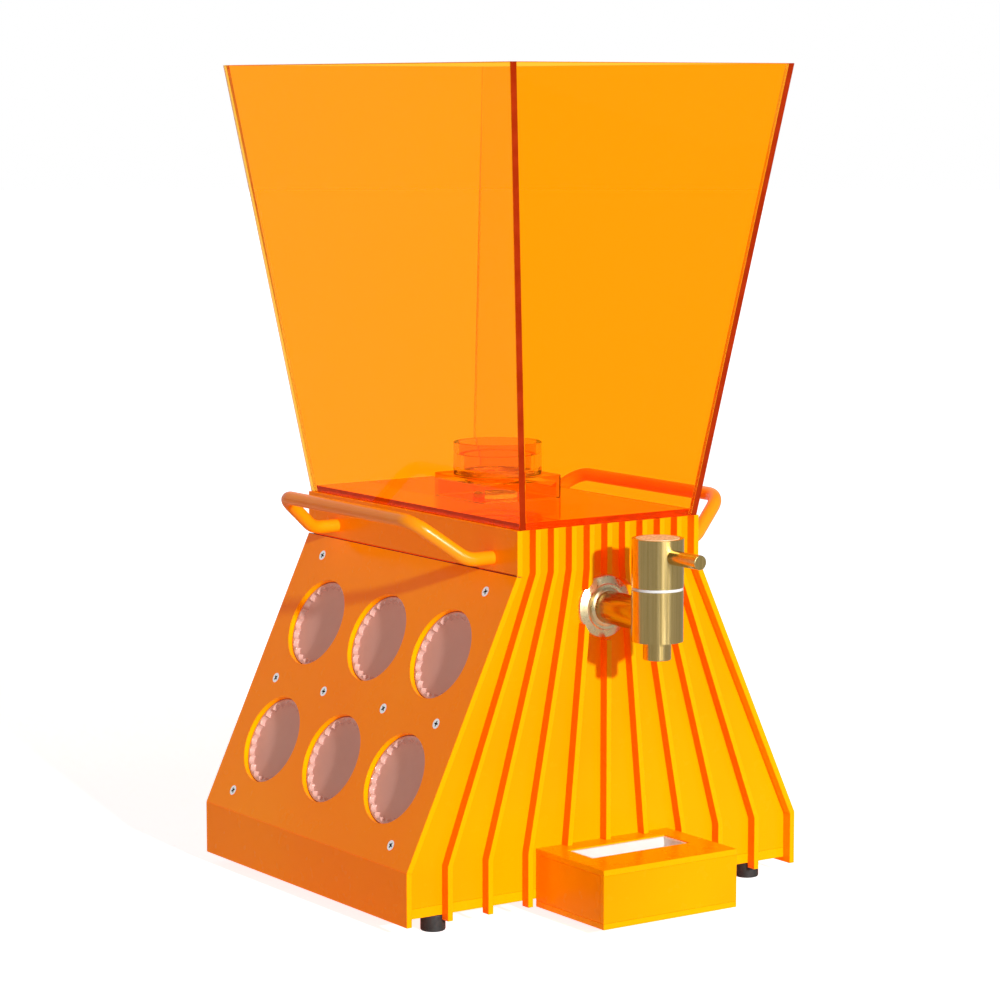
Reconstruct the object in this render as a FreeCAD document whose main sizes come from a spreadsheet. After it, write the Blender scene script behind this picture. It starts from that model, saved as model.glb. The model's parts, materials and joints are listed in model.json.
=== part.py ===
import FreeCAD, Part
import itertools
import math
import operator
import os
from types import SimpleNamespace

import Sketcher
from FreeCAD import Vector

# Party shot dispenser: a cabinet of glued acrylic sheet carries a flared ice hopper with a
# bottle socket, a brass tap on the finned front, a drip tray below it, two bent handles and a
# rack of shot cups in each sloping side. Millimetres, +Z up, the tap faces -Y, and the feet
# stand on Z = 0.

SIZES = {
    # Cabinet
    "foot_height": 6,            # gap from the floor to the lower edge of the sheets
    "skirt_width": 240,          # across the lower, upright band
    "skirt_height": 27,
    "slope_rise": 138.75,        # height of the sloping cup panels
    "neck_width": 111,           # across the upper, upright band
    "neck_height": 21.75,
    "sheet": 3,                  # thickness of the cabinet sheet
    "base_thickness": 5,
    "base_lift": 2.5,            # from the lower edge of the sheets up to the base plate
    # Front fins
    "fin_reach": 5.3,            # how far the fins stand in front of the front panel
    "flange_gap": 0.7,           # free ring round the tap flange where the fins are cut away
    # Cup panels, racks and cups
    "cup_hole": 46.4,
    "cup_margin": 15.4,          # from the outer holes to the cabinet's front and rear faces
    "cup_pitch_along": 58.9,     # from cup to cup along the cabinet
    "cup_pitch_up": 65.2,        # from cup to cup up the slope
    "lower_row": 41.7,           # first row of cups, up the slope
    "panel_gap": 0.5,            # joint between the cup panel and the neck band
    "screw_row_lower": 10.3,     # rows of screws, up the slope
    "screw_row_middle": 73.1,
    "screw_row_upper": 142.1,
    "screw_edge": 21,            # from the cabinet's front and rear faces
    "screw_inner": 57,           # between the two inner screws of the middle row
    "screw_head": 5.2,
    "screw_head_height": 1.6,
    "screw_shank": 3,
    "screw_length": 12,
    "screw_clearance": 0.1,
    "cup_length": 45,
    "cup_clearance": 0.8,        # round a cup in its hole
    "cup_wall": 1.6,
    "cup_disc": 39.4,            # flat disc at the bottom of the fluted recess under the foot
    "cup_recess": 2.5,
    "flute_depth": 1.9,          # how far the flutes reach out from the disc
    "cup_set_back": 3.3,         # foot of a seated cup below the outer face of the panel
    "cup_play": 0.4,             # between a cup's rim and the rack
    "rack_wall": 1.6,
    "rack_plate": 3,
    "rack_drain": 30,            # drain opening behind each cup
    "rack_boss": 7,              # bosses that the panel screws go into
    "rack_margin": 5.5,          # from the outer screws to the edge of the rack's plate
    # Hopper
    "hopper_low_width": 108,
    "hopper_top_width": 169.5,
    "hopper_top_depth": 267,
    "hopper_height": 225,
    "hopper_wall": 3.5,
    # Bottle socket on the hopper floor
    "socket_side": 48,
    "socket_height": 12,
    "socket_corner": 4.5,
    "socket_wall": 3,
    "ring_diameter": 43.8,
    "ring_height": 16.7,
    "ring_mouth": 38,            # wider bore above the seat of the bottle's neck
    "bottle_neck": 33,           # bore that takes the neck of the bottle
    "bottle_seat": 10.4,         # its upper end above the socket box
    "seal_diameter": 36,
    "seal_bore": 26,
    "seal_thickness": 2,
    "seal_play": 0.5,            # over the seal, in its recess under the ring
    # Outlet, elbow and hose
    "outlet_bore": 8,
    "outlet_shank": 13,
    "outlet_flange": 22,
    "outlet_flange_thickness": 2.3,
    "outlet_nut": 20,
    "outlet_nut_thickness": 4.5,
    "barb_diameter": 10,
    "barb_length": 12,
    "elbow_diameter": 14,
    "hose_wall": 2,
    "hose_gap": 0.5,             # between the hose and the elbow's body
    # Tap
    "tap_drop": 42.1,            # tap pipe below the cabinet's top edge
    "tap_reach": 44.3,           # from the front panel to the axis of the tap body
    "pipe_diameter": 16.5,
    "flange_diameter": 31.5,
    "flange_plate": 1.4,
    "flange_collar": 21,
    "flange_rise": 4.5,
    "shank_diameter": 15,
    "shank_length": 13,          # behind the front panel
    "tap_nut": 22,
    "tap_nut_thickness": 5.5,
    "tap_washer": 20,
    "tap_washer_thickness": 1.5,
    "tap_body_diameter": 25.4,
    "tap_body_below": 11.3,      # tap body below the pipe's axis
    "tap_body_above": 13.75,
    "seal_ring_height": 1.5,
    "seal_ring_inset": 0.2,
    "knob_height": 23.75,
    "badge_diameter": 21.3,
    "badge_thickness": 0.9,
    "badge_recess": 0.7,
    "nozzle_diameter": 13.7,
    "nozzle_length": 9.2,
    "nozzle_bore": 7.5,
    "plug_diameter": 13,
    "plug_clearance": 0.05,
    "plug_port": 6.5,
    "lever_diameter": 7.2,
    "lever_reach": 33.6,         # from the body's axis to the end of the lever
    "lever_drop": 8.2,           # lever axis below the top of the knob
    # Handles
    "rod_diameter": 7,
    "handle_spread": 144.8,      # between the two feet of a handle
    "handle_height": 172.1,      # feet above the lower edge of the sheets
    "handle_stub": 14.5,
    "handle_reach": 39,          # from the neck to the middle of the grip
    "handle_rise": 19.2,
    "handle_grip": 123,          # between the corners of the grip
    "handle_bend": 13,
    "handle_inside": 11,
    "handle_forward": 3,         # handles sit a little in front of the middle
    "handle_nut": 12,
    "handle_nut_thickness": 5,
    # Drip tray
    "tray_width": 81.3,
    "tray_depth": 56.8,
    "tray_height": 29.4,
    "tray_drop": 1.5,            # tray below the lower edge of the sheets
    "slot_width": 60,
    "slot_depth": 21,
    "slot_setback": 11.8,        # from the front panel to the slot
    "drip_cup_wall": 1.5,
    "drip_cup_clearance": 0.5,
    "drip_cup_corner": 2,
    # Feet
    "foot_diameter": 12.4,
    "foot_inset_side": 22.5,
    "foot_inset_front": 11.5,
}
FINS_EACH_SIDE = 4               # beside the middle fin
CUP_FLUTES = 22
SMALL_ROUND_SIDES = 12           # the screws and their holes are drawn with few sides

OPERATIONS = {"+": operator.add, "-": operator.sub, "*": operator.mul, "/": operator.truediv}


class Size:
    """A length: the expression that geometry is bound to, and what it comes to now."""

    def __init__(self, text, value):
        self.text = text
        self.value = value

    def joined(self, sign, other, swapped=False):
        other = as_size(other)
        first, second = (other, self) if swapped else (self, other)
        value = OPERATIONS[sign](first.value, second.value)
        return Size(f"({first.text} {sign} {second.text})", value)

    def __add__(self, other):
        return self.joined("+", other)

    def __radd__(self, other):
        return self.joined("+", other, swapped=True)

    def __sub__(self, other):
        return self.joined("-", other)

    def __rsub__(self, other):
        return self.joined("-", other, swapped=True)

    def __mul__(self, other):
        return self.joined("*", other)

    def __rmul__(self, other):
        return self.joined("*", other, swapped=True)

    def __truediv__(self, other):
        return self.joined("/", other)

    def __rtruediv__(self, other):
        return self.joined("/", other, swapped=True)

    def __neg__(self):
        return self.joined("*", -1)


def as_size(length):
    return length if isinstance(length, Size) else Size(repr(float(length)), float(length))


def hypotenuse(rise, run):
    text = f"sqrt({rise.text} * {rise.text} + {run.text} * {run.text})"
    return Size(text, math.hypot(rise.value, run.value))


def slant_angle(rise, run):
    return Size(f"atan({rise.text} / {run.text})", math.degrees(math.atan2(rise.value, run.value)))


doc = FreeCAD.newDocument("PartyShotDispenser")
sheet_of_sizes = doc.addObject("Spreadsheet::Sheet", "Sizes")
free_rows = itertools.count(1)


def in_sheet(name, content, value):
    """Writes a number or a formula in its own row of the sheet, under a name."""
    row = next(free_rows)
    sheet_of_sizes.set(f"A{row}", name)
    sheet_of_sizes.set(f"B{row}", content)
    sheet_of_sizes.setAlias(f"B{row}", name)
    return Size(f"Sizes.{name}", value)


def derived(name, length):
    """Gives a worked-out length its own row, so that what uses it refers to it by name."""
    return in_sheet(name, "=" + length.text.replace("Sizes.", ""), length.value)


s = SimpleNamespace(**{name: in_sheet(name, str(value), value) for name, value in SIZES.items()})
doc.recompute()

nodes = []

# ---------------------------------------------------------------------------------------------
# Placing and sketching
# ---------------------------------------------------------------------------------------------

FORWARD = (Vector(1, 0, 0), 90)      # turns a body's own +Z to the front, -Y
UPRIGHT = (Vector(0, 0, 1), 0)


def bind(item, path, length):
    length = as_size(length)
    item.setExpression(path, length.text)


def place(item, x=0, y=0, z=0, turn=UPRIGHT):
    """Puts an item at x, y, z in the cabinet: y from its middle, z from the sheets' lower edge."""
    item.Placement = FreeCAD.Placement(Vector(), FreeCAD.Rotation(*turn))
    bind(item, "Placement.Base.x", x)
    bind(item, "Placement.Base.y", cabinet_y + y)
    bind(item, "Placement.Base.z", s.foot_height + z)


def place_on_slope(item, up=0, along=0, out=0):
    """Puts an item on the left slope: up it, along the cabinet, and out from its outer face."""
    item.Placement = FreeCAD.Placement(Vector(), FreeCAD.Rotation(Vector(0, -1, 0), 0))
    bind(item, "Placement.Rotation.Angle", slope_angle)
    bind(item, "Placement.Base.x", up * slope_cos - out * slope_sin - s.skirt_width / 2)
    bind(item, "Placement.Base.y", cabinet_y + along)
    bind(item, "Placement.Base.z", s.foot_height + s.skirt_height + up * slope_sin + out * slope_cos)


def keep(item, label=None):
    """Names a finished piece as a node of the dispenser."""
    item.Label = label or item.Name
    nodes.append(item)
    return item


def new_body(name):
    body = doc.addObject("PartDesign::Body", name)
    body.Label = name
    return body


def new_sketch(body, role, lift=0):
    plane = next(item for item in body.Origin.OriginFeatures if item.Role == role)
    sketch = body.newObject("Sketcher::SketchObject", f"{body.Name}_sketch")
    sketch.AttachmentSupport = [(plane, "")]
    sketch.MapMode = "FlatFace"
    bind(sketch, "AttachmentOffset.Base.z", lift)
    return sketch


def hold(sketch, kind, *where, length):
    """Adds one dimension to a sketch, bound to its size."""
    length = as_size(length)
    number = sketch.addConstraint(Sketcher.Constraint(kind, *where, length.value))
    sketch.setExpression(f"Constraints[{number}]", length.text)


def hold_point(sketch, geometry, point, x, y):
    hold(sketch, "DistanceX", -1, 1, geometry, point, length=x)
    hold(sketch, "DistanceY", -1, 1, geometry, point, length=y)


def draw_outline(sketch, corners):
    places = [Vector(as_size(x).value, as_size(y).value, 0) for x, y in corners]
    lines = [Part.LineSegment(a, b) for a, b in zip(places, places[1:] + places[:1])]
    numbers = sketch.addGeometry(lines)
    for number, before, (x, y) in zip(numbers, numbers[-1:] + numbers[:-1], corners):
        sketch.addConstraint(Sketcher.Constraint("Coincident", before, 2, number, 1))
        hold_point(sketch, number, 1, x, y)


def draw_rectangle(sketch, x0, x1, y0, y1):
    draw_outline(sketch, [(x0, y0), (x1, y0), (x1, y1), (x0, y1)])


def draw_square(sketch, x, y, side):
    draw_rectangle(sketch, x - side / 2, x + side / 2, y - side / 2, y + side / 2)


def draw_circle(sketch, x, y, diameter):
    centre = Vector(as_size(x).value, as_size(y).value, 0)
    circle = Part.Circle(centre, Vector(0, 0, 1), as_size(diameter).value / 2)
    number = sketch.addGeometry(circle)
    hold_point(sketch, number, 3, x, y)
    hold(sketch, "Diameter", number, length=diameter)


def draw_equal_sides(sketch, count, diameters):
    """An outline of equal sides, its corners on each circle in turn and count times round."""
    radii = [as_size(diameter).value / 2 for diameter in diameters]
    total = count * len(radii)
    corners = []
    for number in range(total):
        turn = 2 * math.pi * number / total
        radius = radii[number % len(radii)]
        corners.append(Vector(radius * math.cos(turn), radius * math.sin(turn), 0))
    sides = sketch.addGeometry([Part.LineSegment(a, b)
                                for a, b in zip(corners, corners[1:] + corners[:1])])
    circles = []
    for radius, diameter in zip(radii, diameters):
        circle = sketch.addGeometry(Part.Circle(Vector(), Vector(0, 0, 1), radius), True)
        sketch.addConstraint(Sketcher.Constraint("Coincident", circle, 3, -1, 1))
        hold(sketch, "Diameter", circle, length=diameter)
        circles.append(circle)
    rules = [Sketcher.Constraint("PointOnObject", sides[0], 1, -1)]
    for number, side in enumerate(sides):
        rules.append(Sketcher.Constraint("Coincident", sides[number - 1], 2, side, 1))
        rules.append(Sketcher.Constraint("PointOnObject", side, 1, circles[number % len(circles)]))
    rules += [Sketcher.Constraint("Equal", sides[0], side) for side in sides[1:]]
    sketch.addConstraint(rules)


def small_peg(name, steps):
    """A peg down from Z = 0 with few sides: each step is the diameter above one depth."""
    body = new_body(name)
    above = 0
    for diameter, depth in steps:
        sketch = new_sketch(body, "XY_Plane", lift=-depth)
        draw_equal_sides(sketch, SMALL_ROUND_SIDES, [diameter])
        pad(body, sketch, depth - above)
        above = depth
    return body


def pad(body, sketch, length, both_ways=False):
    feature = body.newObject("PartDesign::Pad", f"{body.Name}_pad")
    feature.Profile = sketch
    bind(feature, "Length", length)
    feature.Midplane = both_ways
    return feature


def pocket(body, sketch, depth=None, upward=False):
    feature = body.newObject("PartDesign::Pocket", f"{body.Name}_pocket")
    feature.Profile = sketch
    feature.Reversed = upward
    if depth is None:
        feature.Type = "ThroughAll"
        feature.Midplane = True
    else:
        bind(feature, "Length", depth)
    return feature


def turned(name, profile):
    """A body turned about its own Z, from a profile of radius and height."""
    body = new_body(name)
    sketch = new_sketch(body, "XZ_Plane")
    draw_outline(sketch, profile)
    feature = body.newObject("PartDesign::Revolution", f"{name}_turn")
    feature.Profile = sketch
    feature.ReferenceAxis = (sketch, ["V_Axis"])
    feature.Angle = 360
    return body


def tube_profile(outer, inner, low, high):
    """Radius and height corners of a tube from its two diameters and two ends."""
    outer, inner = as_size(outer) / 2, as_size(inner) / 2
    return [(inner, low), (outer, low), (outer, high), (inner, high)]


def plate(name, x0, x1, y0, y1, z0, thickness, holes=()):
    """A flat rectangular sheet with round holes, each hole as x, y and diameter."""
    body = new_body(name)
    sketch = new_sketch(body, "XY_Plane")
    draw_rectangle(sketch, x0, x1, y0, y1)
    for x, y, diameter in holes:
        draw_circle(sketch, x, y, diameter)
    pad(body, sketch, thickness)
    place(body, z=z0)
    return body


def mirrored(left, name):
    copy = doc.addObject("Part::Mirroring", name)
    copy.Source = left
    copy.Base = Vector(0, 0, 0)
    copy.Normal = Vector(1, 0, 0)
    return copy


def cut(name, base, tools):
    result = doc.addObject("Part::Cut", name)
    result.Base = base
    if len(tools) > 1:
        group = doc.addObject("Part::Compound", f"{name}_cutters")
        group.Links = tools
        tools = [group]
    result.Tool = tools[0]
    return result


def grouped(name, pieces):
    group = doc.addObject("Part::Compound", name)
    group.Links = pieces
    return group


def copied(name, piece, up, along, out=0):
    """The same piece again, at its own place on the left slope."""
    copy = grouped(name, [piece])
    place_on_slope(copy, up, along, out)
    return copy


# ---------------------------------------------------------------------------------------------
# Lines that several pieces share
# ---------------------------------------------------------------------------------------------

skirt_half = s.skirt_width / 2
neck_half = s.neck_width / 2
cabinet_depth = derived("cabinet_depth", 2 * s.cup_pitch_along + s.cup_hole + 2 * s.cup_margin)
depth_half = cabinet_depth / 2
slope_run = skirt_half - neck_half
slope_length = derived("slope_length", hypotenuse(s.slope_rise, slope_run))
slope_cos = derived("slope_cos", slope_run / slope_length)
slope_sin = derived("slope_sin", s.slope_rise / slope_length)
slope_angle = derived("slope_angle", slant_angle(s.slope_rise, slope_run))
# How far a mitred inner edge is set down.
mitre = derived("mitre", s.sheet * (1 - slope_sin) / slope_cos)
neck_low = derived("neck_low", s.skirt_height + s.slope_rise)
cabinet_top = derived("cabinet_top", neck_low + s.neck_height)
panel_face = derived("panel_face", -(depth_half - s.fin_reach))  # front face of the front panel
panel_back = panel_face + s.sheet
rear_face = depth_half
rear_inner = rear_face - s.sheet
base_low = s.base_lift
base_top = s.base_lift + s.base_thickness
tap_height = derived("tap_height", cabinet_top - s.tap_drop)
tap_axis = derived("tap_axis", panel_face - s.tap_reach)
front_reach = s.lever_reach - tap_axis
# The lever and the rear rim of the hopper reach equally far from Y = 0.
cabinet_y = derived("cabinet_y", (front_reach - s.hopper_top_depth / 2) / 2)

# ---------------------------------------------------------------------------------------------
# Cabinet: front and rear panels, bands, base and deck
# ---------------------------------------------------------------------------------------------


def between_sides(low, high):
    """Outline of a panel that fits between the side sheets, from low to high."""
    half = [
        (skirt_half - s.sheet, low),
        (skirt_half - s.sheet, s.skirt_height - mitre),
        (neck_half - s.sheet, neck_low - mitre),
        (neck_half - s.sheet, high),
    ]
    return half + [(-x, z) for x, z in reversed(half)]


front_panel = new_body("front_panel")
sketch = new_sketch(front_panel, "XZ_Plane")
draw_outline(sketch, between_sides(base_top, cabinet_top))
draw_circle(sketch, 0, tap_height, s.shank_diameter + 2 * s.screw_clearance)
pad(front_panel, sketch, s.sheet)
place(front_panel, y=panel_back)
keep(front_panel)

rear_panel = new_body("rear_panel")
sketch = new_sketch(rear_panel, "XZ_Plane")
draw_outline(sketch, between_sides(base_top, cabinet_top))
pad(rear_panel, sketch, s.sheet)
place(rear_panel, y=rear_face)
keep(rear_panel)

inner_half = skirt_half - s.sheet
keep(plate("base_plate", -inner_half, inner_half, panel_face, rear_face, base_low,
           s.base_thickness))

deck_half = neck_half - s.sheet
keep(plate("deck_plate", -deck_half, deck_half, panel_back, rear_inner, cabinet_top - s.sheet,
           s.sheet, holes=[(0, 0, s.outlet_shank)]))


def side_band(name, corners):
    """One upright band of the left side, as its cross-section padded along the cabinet."""
    body = new_body(name)
    sketch = new_sketch(body, "XZ_Plane")
    draw_outline(sketch, corners)
    pad(body, sketch, cabinet_depth, both_ways=True)
    return body


skirt_left = side_band("skirt_left", [
    (-skirt_half, 0), (-skirt_half, s.skirt_height),
    (s.sheet - skirt_half, s.skirt_height - mitre), (s.sheet - skirt_half, 0),
])
place(skirt_left)
keep(skirt_left)
keep(mirrored(skirt_left, "skirt_right"))

neck_left = side_band("neck_left", [
    (-neck_half, neck_low), (-neck_half, cabinet_top),
    (s.sheet - neck_half, cabinet_top), (s.sheet - neck_half, neck_low - mitre),
])
sketch = new_sketch(neck_left, "YZ_Plane", lift=-neck_half)
for side in (-1, 1):
    draw_circle(sketch, s.handle_spread / 2 * side - s.handle_forward, s.handle_height,
                s.rod_diameter + 2 * s.screw_clearance)
pocket(neck_left, sketch)
place(neck_left)
keep(neck_left)
keep(mirrored(neck_left, "neck_right"))

# ---------------------------------------------------------------------------------------------
# Front fins: narrow strips that stand on the front panel and fan out down the slope. The ones
# under the tap stop round its flange and end on the drip tray.
# ---------------------------------------------------------------------------------------------

fin_gaps = 2 * FINS_EACH_SIDE + 2
skirt_pitch = (s.skirt_width - s.sheet) / fin_gaps
neck_pitch = (s.neck_width - s.sheet) / fin_gaps
tray_top = s.tray_height - s.tray_drop
tray_half = s.tray_width / 2


def ends_on_tray(steps):
    return abs(steps) * skirt_pitch.value < tray_half.value


def fin(steps):
    """The fin that stands this many steps to the right of the middle one."""
    half = s.sheet / 2
    low_x = skirt_pitch * steps
    high_x = neck_pitch * steps
    middle = [(low_x, s.skirt_height), (high_x, neck_low), (high_x, cabinet_top)]
    if ends_on_tray(steps):
        # The tray's top is above the kink at the skirt, so these start on the slanted run.
        climb = (tray_top - s.skirt_height) / s.slope_rise
        middle[0] = (low_x - (low_x - high_x) * climb, tray_top)
    else:
        middle.insert(0, (low_x, 0))
    body = new_body(f"fin_{steps + FINS_EACH_SIDE + 1}")
    sketch = new_sketch(body, "XZ_Plane")
    left = [(x - half, z) for x, z in middle]
    right = [(x + half, z) for x, z in reversed(middle)]
    draw_outline(sketch, left + right)
    pad(body, sketch, s.fin_reach)
    place(body, y=panel_face)
    return body


steps_across = range(-FINS_EACH_SIDE, FINS_EACH_SIDE + 1)
fins = {steps: fin(steps) for steps in steps_across}
keep(grouped("left_fins", [fins[n] for n in steps_across if n < 0 and not ends_on_tray(n)]))
keep(grouped("right_fins", [fins[n] for n in steps_across if n > 0 and not ends_on_tray(n)]))
short_fins = grouped("short_fins", [fins[n] for n in steps_across if ends_on_tray(n)])
flange_clearance = turned("flange_clearance", [
    (0, 0), (s.flange_diameter / 2 + s.flange_gap, 0),
    (s.flange_diameter / 2 + s.flange_gap, s.fin_reach * 2), (0, s.fin_reach * 2),
])
place(flange_clearance, y=panel_face, z=tap_height, turn=FORWARD)
keep(cut("middle_fins", short_fins, [flange_clearance]))

# ---------------------------------------------------------------------------------------------
# Sloping cup panels and the screws that hold a rack behind each of them
# ---------------------------------------------------------------------------------------------

upper_row = s.lower_row + s.cup_pitch_up
screw_far = depth_half - s.screw_edge
ROWS = {"lower": s.lower_row, "upper": upper_row}
COLUMNS = {"rear": s.cup_pitch_along, "middle": 0, "front": -s.cup_pitch_along}
cup_places = [(up, along) for up in ROWS.values() for along in COLUMNS.values()]
screw_places = [(up, screw_far * side) for up in
                (s.screw_row_lower, s.screw_row_middle, s.screw_row_upper) for side in (-1, 1)]
screw_places += [(s.screw_row_middle, s.screw_inner / 2 * side) for side in (-1, 1)]


def at_each_screw(name, piece):
    """Copies of one piece at the eight screws of the left side."""
    return grouped(name, [copied(f"{name}_{number}", piece, *where)
                          for number, where in enumerate(screw_places, start=1)])


panel_blank = new_body("cup_panel_blank")
sketch = new_sketch(panel_blank, "XZ_Plane")
draw_outline(sketch, [
    (0, 0), (slope_length - s.panel_gap, 0),
    (slope_length - s.panel_gap + mitre, -s.sheet), (mitre, -s.sheet),
])
pad(panel_blank, sketch, cabinet_depth, both_ways=True)
sketch = new_sketch(panel_blank, "XY_Plane")
for up, along in cup_places:
    draw_circle(sketch, up, along, s.cup_hole)
pocket(panel_blank, sketch)
place_on_slope(panel_blank)
play = 2 * s.screw_clearance
screw_seat = small_peg("screw_seat", [
    (s.screw_head + play, s.screw_head_height), (s.screw_shank + play, s.sheet),
])
cup_panel_left = keep(cut("cup_panel_left", panel_blank, [at_each_screw("screw_seats", screw_seat)]))
keep(mirrored(cup_panel_left, "cup_panel_right"))

screw = small_peg("screw", [
    (s.screw_head, s.screw_head_height), (s.screw_shank, s.screw_length),
])
left_screws = at_each_screw("left_screws", screw)
keep(grouped("panel_screws", [left_screws, mirrored(left_screws, "right_screws")]))

# ---------------------------------------------------------------------------------------------
# Cup racks and shot cups. Each rack is one moulding: six square tubes and eight screw bosses on
# a back plate with drain openings. The cups lie in it with the fluted foot outward.
# ---------------------------------------------------------------------------------------------

cup_out = -s.cup_set_back                             # foot of a seated cup
rack_floor = cup_out - s.cup_length - s.cup_play      # face that the cups' rims stop at
rack_low = s.screw_row_lower - s.rack_margin
rack_high = s.screw_row_upper + s.rack_margin
rack_end = screw_far + s.rack_margin
rack_rise = -rack_floor - s.sheet                     # from the back plate to the cup panel
back_plate = new_body("rack_back_plate")
sketch = new_sketch(back_plate, "XY_Plane", lift=rack_floor - s.rack_plate)
draw_rectangle(sketch, rack_low, rack_high, -rack_end, rack_end)
for up, along in cup_places:
    draw_square(sketch, up, along, s.rack_drain)
pad(back_plate, sketch, s.rack_plate)
place_on_slope(back_plate)
cup_tube = new_body("cup_tube")
sketch = new_sketch(cup_tube, "XY_Plane", lift=rack_floor)
for side in (s.cup_hole + 2 * s.rack_wall, s.cup_hole):
    draw_square(sketch, 0, 0, side)
pad(cup_tube, sketch, rack_rise)
screw_boss = new_body("screw_boss")
sketch = new_sketch(screw_boss, "XY_Plane", lift=rack_floor)
draw_square(sketch, 0, 0, s.rack_boss)
pad(screw_boss, sketch, rack_rise)
cup_tubes = [copied(f"cup_tube_{number}", cup_tube, *where)
             for number, where in enumerate(cup_places, start=1)]
rack = doc.addObject("Part::MultiFuse", "cup_rack_blank")
rack.Shapes = [back_plate, *cup_tubes, at_each_screw("screw_bosses", screw_boss)]
screw_hole = small_peg("screw_hole", [(s.screw_shank, s.sheet + s.screw_length)])
cup_rack_left = keep(cut("cup_rack_left", rack, [at_each_screw("screw_holes", screw_hole)]))
keep(mirrored(cup_rack_left, "cup_rack_right"))

cup_diameter = s.cup_hole - 2 * s.cup_clearance

# The cup lies foot up on its own Z: the foot is at 0 and the mouth at -cup_length.
shot_cup = new_body("shot_cup")
sketch = new_sketch(shot_cup, "XY_Plane", lift=-s.cup_length)
draw_equal_sides(sketch, CUP_FLUTES, [cup_diameter])
pad(shot_cup, sketch, s.cup_length)
sketch = new_sketch(shot_cup, "XY_Plane")
draw_equal_sides(sketch, CUP_FLUTES, [s.cup_disc, s.cup_disc + 2 * s.flute_depth])
pocket(shot_cup, sketch, depth=s.cup_recess)
sketch = new_sketch(shot_cup, "XY_Plane", lift=-s.cup_length)
draw_equal_sides(sketch, CUP_FLUTES, [cup_diameter - 2 * s.cup_wall])
pocket(shot_cup, sketch, depth=s.cup_length - s.cup_recess - s.cup_wall, upward=True)

for row_name, up in ROWS.items():
    for column_name, along in COLUMNS.items():
        spot = f"{row_name}_{column_name}"
        left_cup = keep(copied(f"cup_left_{spot}", shot_cup, up, along, cup_out))
        keep(mirrored(left_cup, f"cup_right_{spot}"))

# ---------------------------------------------------------------------------------------------
# Hopper: four leaning walls and a floor, butt-jointed. The side walls run through and the front
# and rear walls stand between them.
# ---------------------------------------------------------------------------------------------

low_x, low_y = s.hopper_low_width / 2, depth_half
top_x, top_y = s.hopper_top_width / 2, s.hopper_top_depth / 2
side_wall = derived(
    "side_wall", s.hopper_wall * hypotenuse(s.hopper_height, top_x - low_x) / s.hopper_height)
end_wall = derived(
    "end_wall", s.hopper_wall * hypotenuse(s.hopper_height, top_y - low_y) / s.hopper_height)


def leaning(name, low, high, base, height, hole=None):
    """A sheet whose edges lean from the rectangle low to the rectangle high: x0, x1, y0 and y1."""
    spans = []
    for axis, plane in (("across", "XZ_Plane"), ("along", "YZ_Plane")):
        (a0, a1), (b0, b1) = (low[:2], high[:2]) if axis == "across" else (low[2:], high[2:])
        body = new_body(f"{name}_{axis}")
        sketch = new_sketch(body, plane)
        draw_outline(sketch, [(a0, 0), (a1, 0), (b1, height), (b0, height)])
        pad(body, sketch, 2 * s.hopper_top_depth, both_ways=True)
        spans.append(body)
    if hole:
        sketch = new_sketch(spans[0], "XY_Plane")
        draw_circle(sketch, 0, 0, hole)
        pocket(spans[0], sketch)
    for body in spans:
        place(body, z=base)
    sheet = doc.addObject("Part::Common", name)
    sheet.Base, sheet.Tool = spans
    return sheet


hopper_left = keep(leaning("hopper_left", (-low_x, side_wall - low_x, -low_y, low_y),
                           (-top_x, side_wall - top_x, -top_y, top_y), cabinet_top,
                           s.hopper_height))
keep(mirrored(hopper_left, "hopper_right"))
between_low, between_top = low_x - side_wall, top_x - side_wall
keep(leaning("hopper_front", (-between_low, between_low, -low_y, end_wall - low_y),
             (-between_top, between_top, -top_y, end_wall - top_y), cabinet_top, s.hopper_height))
keep(leaning("hopper_rear", (-between_low, between_low, low_y - end_wall, low_y),
             (-between_top, between_top, top_y - end_wall, top_y), cabinet_top, s.hopper_height))
share = s.hopper_wall / s.hopper_height            # part of the flare taken up by the floor
floor_x = between_low + (top_x - low_x) * share
floor_y = low_y - end_wall
floor_top_y = floor_y + (top_y - low_y) * share
keep(leaning("hopper_floor", (-between_low, between_low, -floor_y, floor_y),
             (-floor_x, floor_x, -floor_top_y, floor_top_y), cabinet_top, s.hopper_wall,
             hole=s.outlet_shank))

# ---------------------------------------------------------------------------------------------
# Bottle socket: an open-bottomed box glued to the hopper floor, and a stepped ring on it that
# takes the neck of the upturned bottle on a flat seal
# ---------------------------------------------------------------------------------------------

hopper_floor_top = cabinet_top + s.hopper_wall
socket_top = hopper_floor_top + s.socket_height
socket_half = s.socket_side / 2

socket_box = new_body("socket_box")
sketch = new_sketch(socket_box, "XY_Plane")
draw_rectangle(sketch, -socket_half, socket_half, -socket_half, socket_half)
block = pad(socket_box, sketch, s.socket_height)
doc.recompute()
corners = [f"Edge{number}" for number, edge in enumerate(block.Shape.Edges, start=1)
           if abs(edge.tangentAt(edge.FirstParameter).z) > 0.99]
rounding = socket_box.newObject("PartDesign::Fillet", "socket_box_corners")
rounding.Base = (block, corners)
bind(rounding, "Radius", s.socket_corner)
inside = socket_half - s.socket_wall
sketch = new_sketch(socket_box, "XY_Plane")
draw_rectangle(sketch, -inside, inside, -inside, inside)
pocket(socket_box, sketch, depth=s.socket_height - s.socket_wall, upward=True)
sketch = new_sketch(socket_box, "XY_Plane", lift=s.socket_height)
draw_circle(sketch, 0, 0, s.seal_bore)
pocket(socket_box, sketch, depth=s.socket_wall)
place(socket_box, z=hopper_floor_top)
keep(socket_box)

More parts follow.
